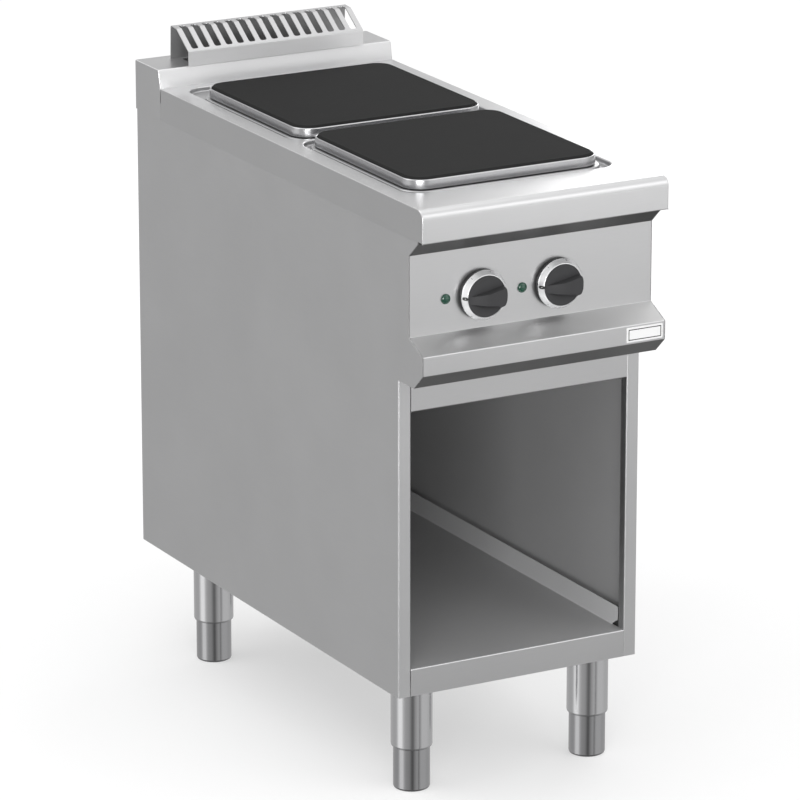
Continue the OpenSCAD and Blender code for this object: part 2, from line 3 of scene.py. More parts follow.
import bmesh
import bpy
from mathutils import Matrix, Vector


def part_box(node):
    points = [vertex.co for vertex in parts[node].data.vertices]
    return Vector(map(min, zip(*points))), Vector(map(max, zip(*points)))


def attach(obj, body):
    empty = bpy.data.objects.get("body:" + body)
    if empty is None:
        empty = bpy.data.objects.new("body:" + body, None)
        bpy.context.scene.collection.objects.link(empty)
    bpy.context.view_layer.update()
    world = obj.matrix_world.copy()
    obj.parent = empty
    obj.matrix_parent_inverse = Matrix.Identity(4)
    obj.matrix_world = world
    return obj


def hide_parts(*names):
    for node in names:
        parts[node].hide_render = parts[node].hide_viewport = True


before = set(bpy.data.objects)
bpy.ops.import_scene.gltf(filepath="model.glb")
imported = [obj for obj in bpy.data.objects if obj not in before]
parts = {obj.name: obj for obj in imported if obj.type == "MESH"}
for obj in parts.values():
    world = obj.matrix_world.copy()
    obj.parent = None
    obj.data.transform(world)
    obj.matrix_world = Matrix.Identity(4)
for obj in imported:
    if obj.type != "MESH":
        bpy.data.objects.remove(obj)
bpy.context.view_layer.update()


# ----------------------------------------------------------------------------------------------------------
# Legs and adjustable feet. Each leg is a turned stainless sleeve on a square plate under the cabinet, and
# the foot is a turned body that screws up into it. Both are polished on the lathe, so the finish runs round
# them.


class Wire:
    """One shader socket. Python's operators on it add Math nodes."""

    def __init__(self, socket):
        self.socket = socket

    def join(self, operation, *terms):
        """A Math node on this wire's tree, fed with the terms in order."""
        made = self.socket.id_data.nodes.new("ShaderNodeMath")
        made.operation = operation
        for place, term in zip(made.inputs, terms):
            plug(place, term)
        return Wire(made.outputs[0])

    def math(self, operation, *others):
        return self.join(operation, self, *others)

    def __add__(self, other):
        return self.math("ADD", other)

    def __sub__(self, other):
        return self.math("SUBTRACT", other)

    def __rsub__(self, other):
        return self.join("SUBTRACT", other, self)

    def __mul__(self, other):
        return self.math("MULTIPLY", other)

    def __truediv__(self, other):
        return self.math("DIVIDE", other)

    __radd__ = __add__
    __rmul__ = __mul__


def plug(place, value):
    """Links a wire to a node's input, or sets a plain value there."""
    if isinstance(value, Wire):
        place.id_data.links.new(value.socket, place)
    else:
        place.default_value = value


class Finish:
    """A material's nodes."""

    def __init__(self, name):
        self.material = bpy.data.materials.new(name)
        self.material.use_nodes = True
        self.tree = self.material.node_tree
        self.tree.nodes.clear()

    def node(self, kind, settings=None, sockets=None, out=0):
        """Any node: its type, its settings, the values or links of its sockets, and the output to use."""
        made = self.tree.nodes.new("ShaderNode" + kind)
        for name, value in (settings or {}).items():
            if name == "stops":
                while len(made.color_ramp.elements) < len(value):
                    made.color_ramp.elements.new(1.0)
                for stop, (at, grey) in zip(made.color_ramp.elements, value):
                    stop.position = at
                    stop.color = (grey, grey, grey, 1.0)
            else:
                setattr(made, name, value)
        for name, value in (sockets or {}).items():
            plug(made.inputs[name], value)
        return Wire(made.outputs[out]) if made.outputs else made

    def place(self, scale=(1.0, 1.0, 1.0)):
        """Position on the object in metres, stretched by scale."""
        where = self.node("TexCoord", out="Object")
        return self.node("Mapping", {"vector_type": "POINT"}, {"Vector": where, "Scale": scale})

    def noise(self, scale, detail=3.0, rough=0.5):
        """Noise from 0 to 1 at a number of waves per metre on each axis."""
        return self.node(
            "TexNoise",
            {"noise_dimensions": "3D"},
            {"Vector": self.place(scale), "Scale": 1.0, "Detail": detail, "Roughness": rough},
        )

    def ramp(self, value, *stops):
        return self.node("ValToRGB", {"stops": stops}, {"Fac": value})

    def tint(self, share, low, high):
        """Colour between low and high, each a wire or red, green and blue."""
        ends = [end if isinstance(end, Wire) else (*end, 1.0) for end in (low, high)]
        sockets = {0: share, 6: ends[0], 7: ends[1]}
        return self.node("Mix", {"data_type": "RGBA", "clamp_factor": True}, sockets, 2)

    def bump(self, height, depth, strength=1.0):
        return self.node("Bump", {}, {"Height": height, "Distance": depth, "Strength": strength})

    def surface(self, sockets):
        shader = self.node("BsdfPrincipled", {}, sockets)
        self.node("OutputMaterial", {}, {"Surface": shader})
        return self.material


def metal(name, dark, light, rough, grain, spread=0.1, depth=0.00004, metallic=1.0):
    """Steel with a fine grain, given as waves per metre on each axis: few along the polishing."""
    made = Finish(name)
    fine = made.noise(grain, detail=5.0, rough=0.65)
    cloud = made.noise((7.0, 7.0, 7.0), detail=4.0, rough=0.6)
    wear = made.noise((38.0, 38.0, 38.0), detail=2.0)
    return made.surface(
        {
            "Base Color": made.tint(fine * 0.45 + cloud * 0.55, dark, light),
            "Metallic": metallic,
            "Roughness": rough + (fine - 0.5) * spread + (cloud - 0.5) * spread + (wear - 0.5) * spread * 0.4,
            "Normal": made.bump(fine, depth, 0.5),
        }
    )


def dress(node, material):
    """Gives a CAD node its material."""
    mesh = parts[node].data
    mesh.materials.clear()
    mesh.materials.append(material)


def soften(piece, width):
    """Rounds a CAD piece's sharp edges: its faces are joined first, because each has vertices of its own."""
    weld = piece.modifiers.new("weld", "WELD")
    weld.merge_threshold = 0.00001
    edge = piece.modifiers.new("edge", "BEVEL")
    edge.width = width
    edge.segments = 2
    edge.limit_method = "ANGLE"
    edge.angle_limit = math.radians(35)
    edge.harden_normals = False
    piece.modifiers.new("normals", "WEIGHTED_NORMAL").keep_sharp = True


TURNED = (60.0, 60.0, 1500.0)
turned_steel = metal("turned_steel", (0.66, 0.66, 0.67), (0.76, 0.76, 0.77), 0.16, TURNED, 0.05)
turned_foot = metal("turned_foot", (0.46, 0.46, 0.47), (0.56, 0.56, 0.57), 0.15, TURNED, 0.05)
for corner in ["front_left", "front_right", "rear_left", "rear_right"]:
    dress(corner + "_leg", turned_steel)
    dress(corner + "_foot", turned_foot)

# ----------------------------------------------------------------------------------------------------------
# Base channels, with the screws that hold the legs' plates under them. The channels are folded from 2 mm
# mill-finish steel and spot-welded between the side panels. The screws are plated M8, each with a nut on
# the inside.

mill_steel = metal("mill_steel", (0.66, 0.66, 0.67), (0.76, 0.76, 0.77), 0.4, (30.0, 700.0, 700.0), 0.12)
plated_steel = metal("plated_steel", (0.46, 0.45, 0.42), (0.58, 0.57, 0.54), 0.3, (900.0, 900.0, 900.0), 0.1)
for piece in ["front_base_channel", "rear_base_channel"]:
    dress(piece, mill_steel)
dress("leg_screws", plated_steel)

# ----------------------------------------------------------------------------------------------------------
# Side panels: 1.2 mm stainless sheet, satin outside, and duller inside, where it is darker by painted shade.
# The front edge follows the control housing, and below it the sheet is folded round into the front stile and
# turned back once more. A flange closes the rear edge.

MM = 0.001
SHEET = 1.2 * MM
SATIN = (0.64, 0.64, 0.645), (0.72, 0.72, 0.725)
ALONG_X = (25.0, 500.0, 500.0)
ALONG_Y = (500.0, 25.0, 500.0)
satin_side = metal("satin_side", *SATIN, 0.42, ALONG_Y, 0.08)
# The inner faces and the shelf's top get a darker copy of the steel: painted shade.
satin_inside_painted_shade = metal(
    "satin_inside_painted_shade", (0.33, 0.33, 0.333), (0.4, 0.4, 0.403), 0.45, ALONG_Y, 0.08, metallic=0.1
)


def rounded(points, radius, steps=5, closed=False):
    """Flat points with each corner turned into an arc. radius is one number, or one for each point."""
    radii = radius if isinstance(radius, (list, tuple)) else [radius] * len(points)
    made = []
    for i, point in enumerate(points):
        here = Vector(point)
        if not closed and i in (0, len(points) - 1):
            made.append(here)
            continue
        before = Vector(points[i - 1]) - here
        after = Vector(points[(i + 1) % len(points)]) - here
        turn = math.pi - before.angle(after)
        if turn < 0.02 or radii[i] <= 0:
            made.append(here)
            continue
        back = min(radii[i] * math.tan(turn / 2), before.length * 0.49, after.length * 0.49)
        true_radius = back / math.tan(turn / 2)
        start = here + before.normalized() * back
        between = (before.normalized() + after.normalized()).normalized()
        middle = here + between * true_radius / math.cos(turn / 2)
        spoke = start - middle
        side = 1 if before.x * after.y - before.y * after.x < 0 else -1
        for step in range(steps + 1):
            angle = side * turn * step / steps
            cos, sin = math.cos(angle), math.sin(angle)
            made.append(middle + Vector((spoke.x * cos - spoke.y * sin, spoke.x * sin + spoke.y * cos)))
    return made


def weave(shape, rows, closed=False, ring=False):
    """Skins rows of vertices with quads. closed joins a row's ends, and ring the last row to the first."""
    pairs = list(zip(rows, rows[1:])) + ([(rows[-1], rows[0])] if ring else [])
    for lower, upper in pairs:
        count = len(lower)
        for i in range(count if closed else count - 1):
            j = (i + 1) % count
            shape.faces.new((lower[i], lower[j], upper[j], upper[i]))


def piece_of(shape, name, node, material, body="cabinet", thick=0.0):
    """Turns a mesh under construction into a piece that stands for a CAD node and rides on its body."""
    bmesh.ops.recalc_face_normals(shape, faces=shape.faces)
    mesh = bpy.data.meshes.new(name)
    shape.to_mesh(mesh)
    shape.free()
    for face in mesh.polygons:
        face.use_smooth = True
    mesh.set_sharp_from_angle(angle=math.radians(40))
    mesh.materials.append(material)
    piece = bpy.data.objects.new(name, mesh)
    bpy.context.scene.collection.objects.link(piece)
    if thick:
        wall = piece.modifiers.new("wall", "SOLIDIFY")
        wall.thickness = thick
        wall.offset = -1.0
        wall.use_even_offset = True
    piece.modifiers.new("normals", "WEIGHTED_NORMAL").keep_sharp = True
    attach(piece, body)
    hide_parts(*([node] if isinstance(node, str) else node))
    return piece


HOUSING = [(-437, 852), (-408, 826), (-408, 707), (-448, 688), (-448, 660), (-423, 637), (-378, 637)]
SIDE_X = 198.4
STILE_X = 178
FRONT_Y = -378
REAR_Y = 450
BOTTOM_Z = 160
STILE_TOP = 636.8
APRON_Z = 852
UNDER_APRON = APRON_Z - 0.2
TONGUE_Z = 877
FOLD = 2.2


def side_panel(side):
    name = "left" if side < 0 else "right"
    shape = bmesh.new()

    def at(x, y, z):
        return shape.verts.new((side * x * MM, y * MM, z * MM))

    front = [at(SIDE_X, y, z) for y, z in HOUSING]
    top_of_fold = at(SIDE_X, FRONT_Y + FOLD, STILE_TOP)
    foot_of_fold = at(SIDE_X, FRONT_Y + FOLD, BOTTOM_Z)
    edge = [(REAR_Y - FOLD, BOTTOM_Z), (REAR_Y - FOLD, UNDER_APRON), (446, UNDER_APRON)]
    edge += [(446, TONGUE_Z), (-420, TONGUE_Z), (-420, APRON_Z)]
    rear = [at(SIDE_X, y, z) for y, z in edge]
    shape.faces.new([*front, top_of_fold, foot_of_fold, *rear])
    turns = [(SIDE_X, 0), (SIDE_X, FRONT_Y), (STILE_X, FRONT_Y), (STILE_X, FRONT_Y + 15)]
    stile = rounded(turns, FOLD, 4)[1:]
    rows = [[top_of_fold, foot_of_fold]]
    rows += [[at(x, y, STILE_TOP), at(x, y, BOTTOM_Z)] for x, y in stile[1:]]
    weave(shape, rows)
    flange = rounded([(SIDE_X, 400), (SIDE_X, REAR_Y), (STILE_X, REAR_Y)], FOLD, 4)[2:]
    weave(shape, [[rear[1], rear[0]]] + [[at(x, y, UNDER_APRON), at(x, y, BOTTOM_Z)] for x, y in flange])
    made = piece_of(shape, name + "_side_sheet", name + "_side_panel", satin_side, thick=SHEET)
    if made.data.polygons[0].normal.x * side < 0:
        made.data.flip_normals()
    made.data.materials.append(satin_inside_painted_shade)
    made.modifiers["wall"].material_offset = 1


for side in (-1, 1):
    side_panel(side)

# ----------------------------------------------------------------------------------------------------------
# Floor shelf: 1.2 mm satin sheet. Its front turns down as the bottom rail, and its sides turn up. The
# corners are notched so that the folds can be made, and the side flanges run forward over the notches and
# end square.

satin_front = metal("satin_front", *SATIN, 0.35, ALONG_X, 0.08)
# The shelf's upturned sides get a copy of the steel darker than outside but lighter than the shelf top:
# painted shade.
satin_flange_painted_shade = metal("satin_flange_painted_shade", (0.54, 0.54, 0.545), (0.6, 0.6, 0.605), 0.5, ALONG_Y, 0.08, metallic=0.1)
SHELF_Z = 201
FLANGE_X = 176.6
FLANGE_Y = -362.4
FLANGE_TOP = 232
NOTCH_Y = -348
SHELF_REAR = 427


def floor_shelf():
    shape = bmesh.new()

    def at(x, y, z):
        return shape.verts.new((x * MM, y * MM, z * MM))

    fold = 1.8
    inner = FLANGE_X - fold
    wide = STILE_X - 0.2
    front = [at(-wide, FRONT_Y + fold, SHELF_Z), at(wide, FRONT_Y + fold, SHELF_Z)]
    notch_r = [at(wide, NOTCH_Y, SHELF_Z), at(inner, NOTCH_Y, SHELF_Z)]
    notch_l = [at(-inner, NOTCH_Y, SHELF_Z), at(-wide, NOTCH_Y, SHELF_Z)]
    back_r = at(inner, SHELF_REAR, SHELF_Z)
    back_l = at(-inner, SHELF_REAR, SHELF_Z)
    shape.faces.new([*front, *notch_r, back_r, back_l, *notch_l])
    lip = rounded([(-300, SHELF_Z), (FRONT_Y, SHELF_Z), (FRONT_Y, BOTTOM_Z)], fold, 4)[2:]
    weave(shape, [front] + [[at(-wide, y, z), at(wide, y, z)] for y, z in lip])
    for side, (near, far) in [(1, (notch_r[1], back_r)), (-1, (notch_l[0], back_l))]:
        turn = rounded([(0, SHELF_Z), (FLANGE_X, SHELF_Z), (FLANGE_X, FLANGE_TOP)], fold, 4)[2:]
        rows = [[near, far]]
        for x, z in turn[:-1]:
            rows.append([at(side * x, NOTCH_Y, z), at(side * x, SHELF_REAR, z)])
        weave(shape, rows)
        near_top = at(side * FLANGE_X, FLANGE_Y, FLANGE_TOP)
        far_top = at(side * FLANGE_X, SHELF_REAR, FLANGE_TOP)
        shape.faces.new([*rows[-1], far_top, near_top, at(side * FLANGE_X, FLANGE_Y, FLANGE_TOP - 20)])
    made = piece_of(shape, "shelf_sheet", "floor_shelf", satin_front, thick=SHEET)
    if made.data.polygons[0].normal.z < 0:
        made.data.flip_normals()
    made.data.materials.append(satin_inside_painted_shade)
    made.data.materials.append(satin_flange_painted_shade)
    for face in made.data.polygons:
        if face.center.z > (SHELF_Z - 0.5) * MM:
            face.material_index = 2 if abs(face.normal.x) > 0.5 else 1


floor_shelf()

# ----------------------------------------------------------------------------------------------------------
# Back panel, with its screws, the ceiling that closes the electrical space, and the heat shield over the
# wiring.
# All are flat or shallow folded mill-finish sheets. The cooling slots are punched, and the panel's inside is
# duller and much darker, the darkness being painted shade.

# The back panel's inner face gets a much darker copy of the steel: painted shade.
dull_steel_painted_shade = metal("dull_steel_painted_shade", (0.17, 0.17, 0.173), (0.23, 0.23, 0.233), 0.5, (700.0, 30.0, 30.0), 0.12)
dress("back_panel", mill_steel)
parts["back_panel"].data.materials.append(dull_steel_painted_shade)
for face in parts["back_panel"].data.polygons:
    if face.normal.y < -0.5:
        face.material_index = 1
for piece in ["compartment_ceiling", "heat_shield"]:
    dress(piece, mill_steel)
dress("back_panel_screws", plated_steel)

# ----------------------------------------------------------------------------------------------------------
# Fascia rail over the opening: a channel of satin sheet between the stiles. Its upper flange lies under the
# control panel's lower flange, and three screws join the two.


def folded_sheet(path, width, thick, radius):
    """Closed mesh of a sheet folded along (y, z) points, to the left of their direction, and centred on x."""
    steps = 4
    outer = rounded(path, radius, steps)
    inner = []
    for i, point in enumerate(outer):
        before = (point - outer[i - 1]).normalized() if i else (outer[1] - point).normalized()
        after = (outer[i + 1] - point).normalized() if i < len(outer) - 1 else before
        left = Vector((-before.y - after.y, before.x + after.x)).normalized()
        inner.append(point + left * thick / max(0.3, left.dot(Vector((-before.y, before.x)))))
    section = outer + inner[::-1]
    shape = bmesh.new()
    rows = []
    for side in (-1, 1):
        rows.append([shape.verts.new((side * width / 2 * MM, y * MM, z * MM)) for y, z in section])
    weave(shape, rows, closed=True)
    count = len(outer)
    for row in rows:
        for i in range(count - 1):
            j = 2 * count - 1 - i
            shape.faces.new((row[i], row[i + 1], row[j - 1], row[j]))
    return shape


FASCIA_REAR = -352
FASCIA_Z = 587
fascia_path = [(FASCIA_REAR, FASCIA_Z), (FRONT_Y, FASCIA_Z), (FRONT_Y, STILE_TOP), (FASCIA_REAR, STILE_TOP)]
fascia = folded_sheet(fascia_path, 2 * STILE_X - 0.4, -SHEET / MM, 1.8)
piece_of(fascia, "fascia_sheet", "fascia_rail", satin_front)
dress("control_panel_screws", plated_steel)

# ----------------------------------------------------------------------------------------------------------
# Control panel: one satin sheet bent from under the apron to the underside of the projecting nose, with
# punched holes for the switch shafts and the lamps. Its undersides and the slope under the knobs are rougher
# than its front, and darker by painted shade.

PANEL_Y = -408


def middle_of(node):
    """Centre of a CAD node's box as (x, z), in mm."""
    low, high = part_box(node)
    return (low[0] + high[0]) / 2 / MM, (low[2] + high[2]) / 2 / MM


KNOBS = {side: middle_of(side + "_bezel") for side in ("left", "right")}
LAMPS = {side: middle_of(side + "_pilot_lens") for side in ("left", "right")}


def carve(piece, shape, operation="DIFFERENCE", sharp=40):
    """Cuts a closed mesh out of a piece for good, or joins it on with UNION."""
    bmesh.ops.recalc_face_normals(shape, faces=shape.faces)
    mesh = bpy.data.meshes.new("tool")
    shape.to_mesh(mesh)
    shape.free()
    tool = bpy.data.objects.new("tool", mesh)
    bpy.context.scene.collection.objects.link(tool)
    kept = list(piece.modifiers)
    for modifier in kept:
        modifier.show_viewport = False
    step = piece.modifiers.new("carve", "BOOLEAN")
    step.operation = operation
    step.solver = "EXACT"
    step.object = tool
    graph = bpy.context.evaluated_depsgraph_get()
    piece.data = bpy.data.meshes.new_from_object(piece.evaluated_get(graph))
    piece.modifiers.remove(step)
    for modifier in kept:
        modifier.show_viewport = True
    piece.data.set_sharp_from_angle(angle=math.radians(sharp))
    bpy.data.objects.remove(tool)


def pillar(shape, outline, low, high, turn):
    """Adds an upright prism on flat points to a mesh. turn gives the position of a point at a height."""
    rows = [[shape.verts.new(turn(u, v, level)) for u, v in outline] for level in (low, high)]
    weave(shape, rows, closed=True)
    shape.faces.new(rows[0][::-1])
    shape.faces.new(rows[1])


def circle(radius, count=48):
    turns = [2 * math.pi * i / count for i in range(count)]
    return [(radius * math.cos(turn), radius * math.sin(turn)) for turn in turns]


PANEL_W = 394
panel_path = [(-437, UNDER_APRON), *HOUSING[1:6], (-354, 637)]
panel_folds = [0, 0.8, 0.5, 2, 2, 1, 0]
panel_shape = folded_sheet(panel_path, PANEL_W, SHEET / MM, panel_folds)
panel = piece_of(panel_shape, "control_sheet", "control_panel", satin_front)
# Darker copies of the front's satin finish: painted shade under the apron, under the nose and on the slope
# below the knobs.
painted_shade_strips = [("satin_under_painted_shade", 0.2, 0.45), ("satin_nose_painted_shade", 0.42, 0.45), ("satin_slope_painted_shade", 0.58, 0.46)]
for name, shade, rough in painted_shade_strips:
    panel.data.materials.append(metal(name, (shade,) * 3, (shade + 0.04,) * 3, rough, ALONG_X, 0.08))
for face in panel.data.polygons:
    if abs(face.normal.x) > 0.5:
        continue
    if face.normal.z < -0.4:
        face.material_index = 1 if face.center.z > (HOUSING[1][1] - 0.5) * MM else 2
    elif face.normal.z > 0.8:
        face.material_index = 3
holes = bmesh.new()
for places, radius in [(KNOBS, 5.0), (LAMPS, 6.2)]:
    for x, z in places.values():
        pillar(
            holes, circle(radius), PANEL_Y - 6, PANEL_Y + 6,
            lambda u, v, level, x=x, z=z: ((x + u) * MM, level * MM, (z + v) * MM),
        )
carve(panel, holes)

# ----------------------------------------------------------------------------------------------------------
# Badge plate at the right end of the nose: a small gloss plate with a dark edge line, left blank.


BADGE_X = 164
BADGE_Z = 674
BADGE_W = 60
BADGE_H = 22
BADGE_LINE = 27.2, 8.2
BADGE_FIELD = 25.8, 6.8


def badge_finish():
    made = Finish("badge_gloss")
    place = made.node("TexCoord", out="Object")
    x = made.node("SeparateXYZ", {}, {0: place}, 0)
    z = made.node("SeparateXYZ", {}, {0: place}, 2)
    off_x = (x - BADGE_X * MM).math("ABSOLUTE")
    off_z = (z - BADGE_Z * MM).math("ABSOLUTE")

    def within(half_w, half_h):
        return off_x.math("LESS_THAN", half_w * MM) * off_z.math("LESS_THAN", half_h * MM)

    line = within(*BADGE_LINE) * (1 - within(*BADGE_FIELD))
    speck = made.noise((300.0, 300.0, 300.0))
    return made.surface(
        {
            "Base Color": made.tint(line, (0.86, 0.86, 0.86), (0.03, 0.03, 0.03)),
            "Metallic": 0.0,
            "Roughness": 0.18 + speck * 0.08,
            "Coat Weight": 0.6 + speck * 0.2,
            "Normal": made.bump(speck, 0.00002, 0.3),
        }
    )


def box_outline(width, height, radius, steps=6):
    half_w, half_h = width / 2, height / 2
    corners = [(-half_w, -half_h), (half_w, -half_h), (half_w, half_h), (-half_w, half_h)]
    return rounded(corners, radius, steps, closed=True)


badge = bmesh.new()
rows = []
for inset, y in [(0, -448.1), (0, -448.6), (0.3, -448.9)]:
    outline = box_outline(BADGE_W - 2 * inset, BADGE_H - 2 * inset, 1.5 - inset)
    rows.append([badge.verts.new(((BADGE_X + u) * MM, y * MM, (BADGE_Z + v) * MM)) for u, v in outline])
weave(badge, rows, closed=True)
badge.faces.new(rows[0][::-1])
badge.faces.new(rows[-1])
piece_of(badge, "badge_blank", "badge_plate", badge_finish())

# ----------------------------------------------------------------------------------------------------------
# Rotary switches with their shafts, the pilot lamps' bodies, the terminal block, the cable gland, the
# bonding stud and the wiring. Moulded, ceramic and plated parts that are bought in and screwed behind the
# panels.


def moulded(name, dark, light, rough, grain=900.0, depth=0.00003, coat=0.0, shine=0.5, painted_corner_shade=1.0):
    """Moulded or glazed surface with a fine even texture. The last argument is the share of colour left in
    corners and under raised parts: painted shade, from an ambient occlusion node.
    """
    made = Finish(name)
    fine = made.noise((grain, grain, grain), detail=2.0)
    cloud = made.noise((25.0, 25.0, 25.0), detail=3.0)
    colour = made.tint(fine * 0.5 + cloud * 0.5, dark, light)
    if painted_corner_shade < 1.0:
        # Painted shade: the colour goes towards the darkened end where ambient occlusion finds nearby
        # surfaces.
        open_share = made.node("AmbientOcclusion", {"samples": 12}, {"Distance": 0.012}, 1)
        colour = made.tint(open_share, [channel * painted_corner_shade for channel in dark], colour)
    return made.surface(
        {
            "Base Color": colour,
            "Specular IOR Level": shine,
            "Roughness": rough + (fine - 0.5) * 0.12 + (cloud - 0.5) * 0.08,
            "Coat Weight": coat,
            "Normal": made.bump(fine, depth, 0.4),
        }
    )


black_case = moulded("black_case", (0.02, 0.02, 0.021), (0.04, 0.04, 0.042), 0.5)
ceramic = moulded("ceramic", (0.74, 0.72, 0.66), (0.84, 0.82, 0.76), 0.35, 200.0, 0.00005, 0.3)
sleeve = moulded("wire_sleeve", (0.13, 0.12, 0.115), (0.24, 0.22, 0.21), 0.75, 1400.0, 0.0002)
for piece in ["left_switch", "right_switch", "cable_gland"]:
    dress(piece, black_case)
for piece in ["pilot_lamp_bodies", "terminal_block", "plate_terminals"]:
    dress(piece, ceramic)
for piece in ["supply_wiring", "plate_wiring"]:
    dress(piece, sleeve)
for piece in ["left_switch_shaft", "right_switch_shaft", "bonding_stud", "clamp_nuts"]:
    dress(piece, plated_steel)

# ----------------------------------------------------------------------------------------------------------
# Pilot lamps: a green moulded dome with a thin flange, pushed through the panel beside each knob.


def turned(shape, profile, centre, count=72):
    """Adds a body of revolution about an axis along Y. profile lists (radius, y), in order round the body."""
    x, z = centre
    rows = []
    for radius, y in profile:
        points = circle(radius, count) if radius > 0 else [(0, 0)]
        rows.append([shape.verts.new(((x + u) * MM, y * MM, (z + v) * MM)) for u, v in points])
    for lower, upper in zip(rows, rows[1:]):
        for i in range(count):
            j = (i + 1) % count
            corners = []
            for row, place in [(lower, i), (lower, j), (upper, j), (upper, i)]:
                vert = row[place % len(row)]
                if vert not in corners:
                    corners.append(vert)
            if len(corners) > 2:
                shape.faces.new(corners)


def lens_finish():
    made = Finish("green_lens")
    ribs = made.noise((500.0, 500.0, 500.0), detail=1.0)
    deep = made.noise((120.0, 120.0, 120.0), detail=2.0)
    return made.surface(
        {
            "Base Color": made.tint(deep, (0.003, 0.035, 0.02), (0.006, 0.08, 0.045)),
            "Roughness": 0.16 + ribs * 0.1,
            "Coat Weight": 0.8 + ribs * 0.1,
            "Normal": made.bump(ribs, 0.00004, 0.4),
        }
    )


green_lens = lens_finish()
DOME_Y = -409.5
DOME_HIGH = 2.1
for side in LAMPS:
    lens = bmesh.new()
    dome = [(0, -402.2), (5.9, -402.2), (5.9, -408.2), (7.3, -408.2)]
    dome += [(7.5, -408.5), (7.5, -409), (7.2, DOME_Y)]
    turns = [i * math.pi / 16 for i in range(8)]
    dome += [(6.4 * math.cos(turn), DOME_Y - DOME_HIGH * math.sin(turn)) for turn in turns]
    turned(lens, dome + [(0, DOME_Y - DOME_HIGH)], LAMPS[side], 48)
    piece_of(lens, side + "_lens_dome", side + "_pilot_lens", green_lens)

# ----------------------------------------------------------------------------------------------------------
# Dial: a moulded black base on the panel that carries a turned satin-chrome ring, shaped as a low cone. The
# ring is printed with a bold off mark at the left and a tick at each of the six heats, clockwise.

# The knobs and dial bases darken in their corners and under the grip's wedge: painted shade.
satin_black_painted_shade = moulded(
    "satin_black_painted_shade", (0.042, 0.042, 0.044), (0.056, 0.056, 0.058), 0.5, 1200.0, 0.00002, shine=0.15, painted_corner_shade=0.22
)
ring_chrome = metal(
    "ring_chrome", (0.9, 0.9, 0.91), (0.96, 0.96, 0.97), 0.26, (1500.0, 60.0, 1500.0), 0.04, metallic=0.7
)
print_ink = moulded("print_ink", (0.01, 0.01, 0.01), (0.02, 0.02, 0.02), 0.5)
HEATS = 6
HEAT_STEP = 2 * math.pi / (HEATS + 1)
RING_R = 36.4
RING_EDGE = -417.8
RING_RISE = 8.0 / 5.4
TICK = 34.2, 35.8, 0.7
MARK_R = 33.4
MARK_POINTS = 20


def slope_at(radius):
    """Where the ring's cone lies along Y, at a radius."""
    return RING_EDGE - (RING_R - radius) * RING_RISE


def mark(shape, centre, angle, inner, outer, width):
    """Adds a thin printed bar that runs out along the cone from one radius to another."""
    x, z = centre
    cos, sin = math.cos(angle), math.sin(angle)
    rows = []
    for lift in (0.05, -0.15):
        corners = [(inner, -width / 2), (outer, -width / 2), (outer, width / 2), (inner, width / 2)]
        rows.append([
            shape.verts.new(
                ((x + r * cos - v * sin) * MM, (slope_at(r) + lift) * MM, (z + r * sin + v * cos) * MM)
            )
            for r, v in corners
        ])
    weave(shape, rows, closed=True)
    shape.faces.new(rows[0][::-1])
    shape.faces.new(rows[1])


def dial(side):
    base = bmesh.new()
    section = [(5, -408.2), (31.5, -408.2), (31.5, -409.5), (36, -410.3), (36.5, -411), (36.5, -415.6)]
    turned(base, section + [(36, -416), (5, -416)], KNOBS[side])
    piece_of(base, side + "_dial_base", side + "_bezel", satin_black_painted_shade)
    ring = bmesh.new()
    cone = [(30.4, -416.2), (36.3, -416.2), (36.5, -416.5), (36.5, -417.5), (RING_R, RING_EDGE)]
    cone += [(r, slope_at(r)) for r in (35.0, 33.0, 31.6)] + [(31.1, -425.1), (30.6, -425.1), (30.4, -424.8)]
    turned(ring, cone, KNOBS[side], 96)
    piece_of(ring, side + "_dial_chrome", side + "_dial_ring", ring_chrome)
    marks = bmesh.new()
    for heat in range(1, HEATS + 1):
        mark(marks, KNOBS[side], math.pi - heat * HEAT_STEP, *TICK)
    for i in range(MARK_POINTS):
        turn = 2 * math.pi * i / MARK_POINTS
        radius = MARK_R + 1.8 * math.cos(turn)
        across = 1.6 * math.sin(turn)
        mark(marks, KNOBS[side], math.pi - across / MARK_R, radius - 0.85, radius + 0.85, 1.7)
    piece_of(marks, side + "_dial_print", [], print_ink)


for side in KNOBS:
    dial(side)

# ----------------------------------------------------------------------------------------------------------
# Knobs: a moulded disc with a wedge-shaped grip, pressed on the switch shaft. The grip ramps up out of the
# disc from the off mark, widens to the other side up to the disc's edge, and has drafted walls.


KNOB_BACK = -416.5
KNOB_FACE = -426
KNOB_R = 30
GRIP_R = 28
GRIP_HIGH = 10
STATIONS = [-27.6, -26.5, *range(-24, 4, 3), 8, 14, 19, 23, 24.6, 25.8, 26.8, 27.5, 27.9]


